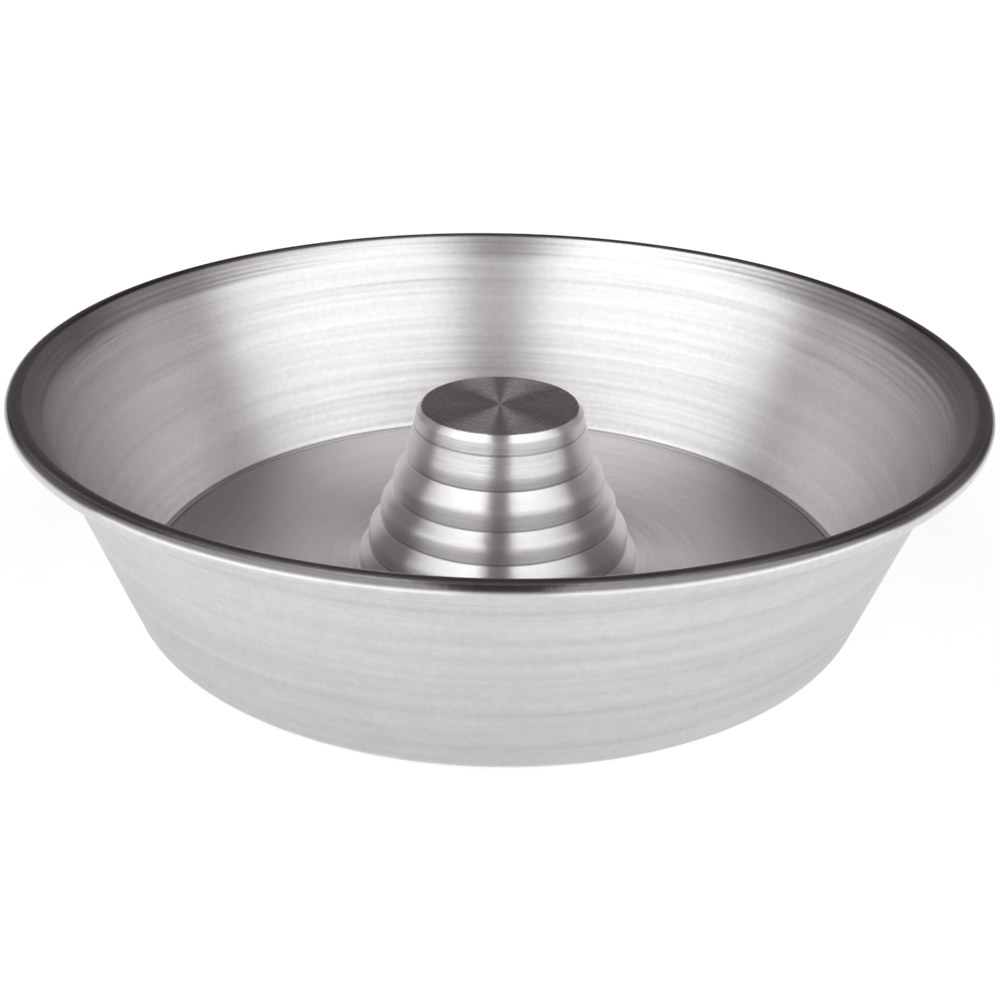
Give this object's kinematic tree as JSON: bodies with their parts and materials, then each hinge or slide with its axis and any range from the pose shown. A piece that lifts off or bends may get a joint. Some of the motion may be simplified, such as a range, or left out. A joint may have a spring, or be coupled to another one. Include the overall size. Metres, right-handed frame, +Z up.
{
  "type": "angel food cake pan",
  "caption": "Round flared cake pan of spun sheet metal with a wired rolled rim and a loose base that carries a closed, stepped centre cone",
  "frame": {"origin": "centre of the foot ring, on the table", "axes": "+Z up along the axis of the pan; X and Y level"},
  "size_m": [0.26, 0.26, 0.065],
  "materials": {
    "shell": "satin, brushed round the axis",
    "wire": "drawn wire",
    "base": "brushed in circles",
    "cone": "bright, brushed round the axis"
  },
  "bodies": {
    "pan": {"pan_shell": "shell", "rim_wire": "wire"},
    "base": {"base_plate": "base", "centre_cone": "cone"}
  },
  "joints": [
    {"name": "base_lift", "type": "slide", "parent": "pan", "child": "base", "axis": [0, 0, 1], "range_m": [0, 0.07]}
  ]
}
